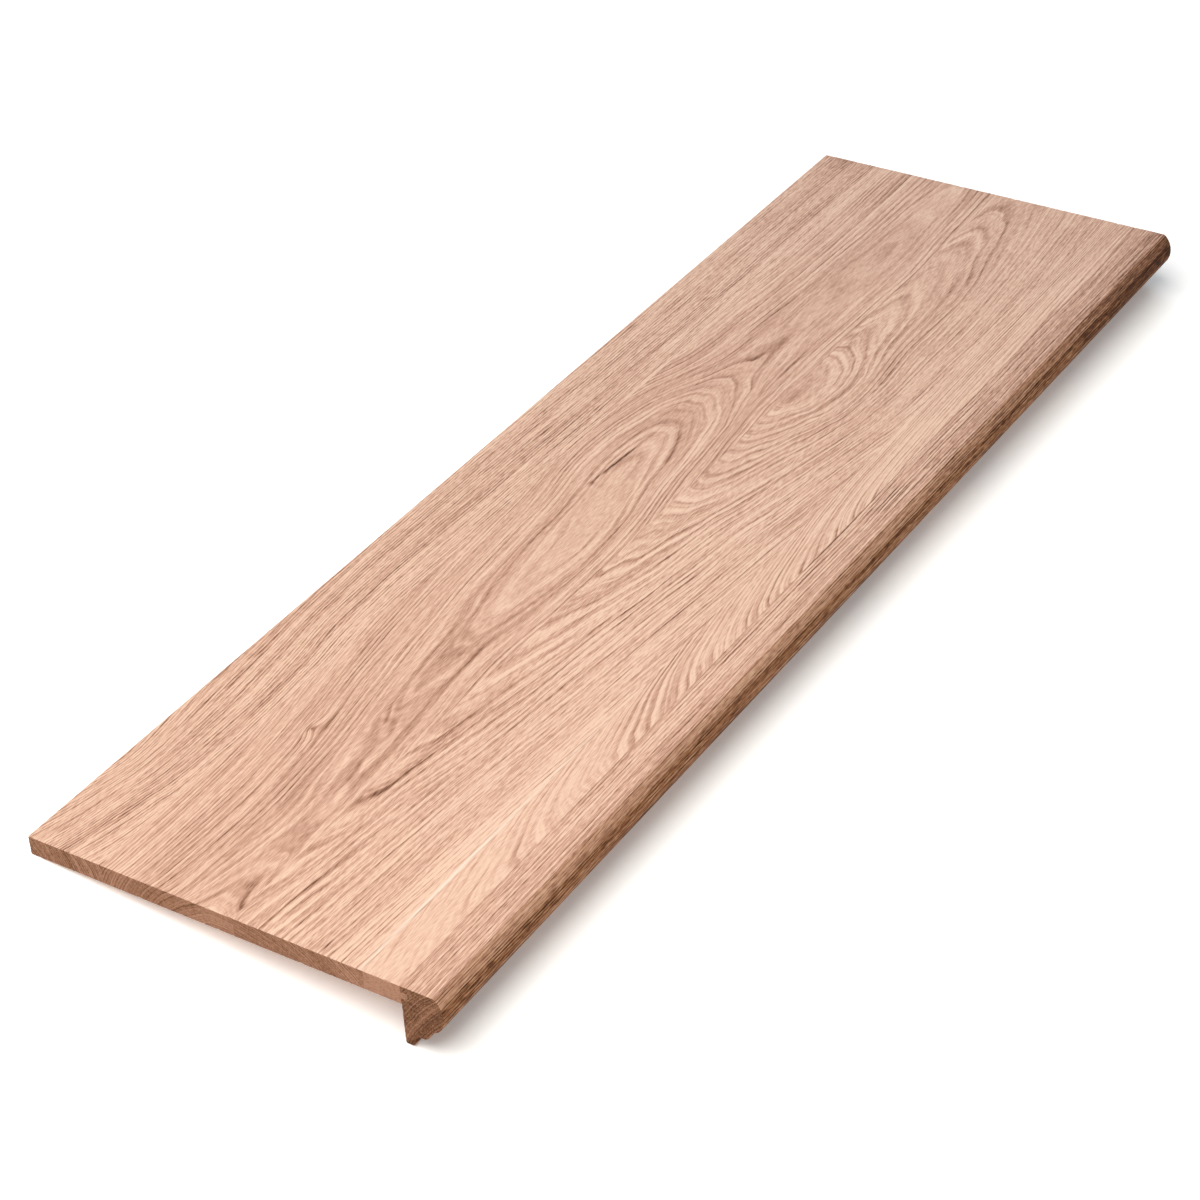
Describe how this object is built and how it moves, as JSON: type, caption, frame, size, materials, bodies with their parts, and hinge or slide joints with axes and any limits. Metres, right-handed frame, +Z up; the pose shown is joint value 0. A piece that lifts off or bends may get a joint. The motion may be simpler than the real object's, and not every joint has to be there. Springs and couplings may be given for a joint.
{
  "type": "stair tread",
  "caption": "Thin edge-glued oak replacement stair tread with a moulded nosing whose foot hangs down in front of the old step.",
  "frame": {"origin": "on the floor under the middle of the tread, as it lies on its back edge and the heel of the nosing's foot", "axes": "+X along the tread, -Y towards the nosing, +Z up from the floor; the top face slopes up to the front by 6.1 degrees"},
  "size_m": [0.9144, 0.2792, 0.0419],
  "materials": {
    "red_oak_board": "sanded, unfinished",
    "red_oak_nosing": "moulded and sanded, unfinished"
  },
  "bodies": {
    "root": {"back_stave": "red_oak_board", "heart_stave": "red_oak_board", "middle_stave": "red_oak_board", "front_stave": "red_oak_board", "nosing": "red_oak_nosing"}
  },
  "joints": []
}
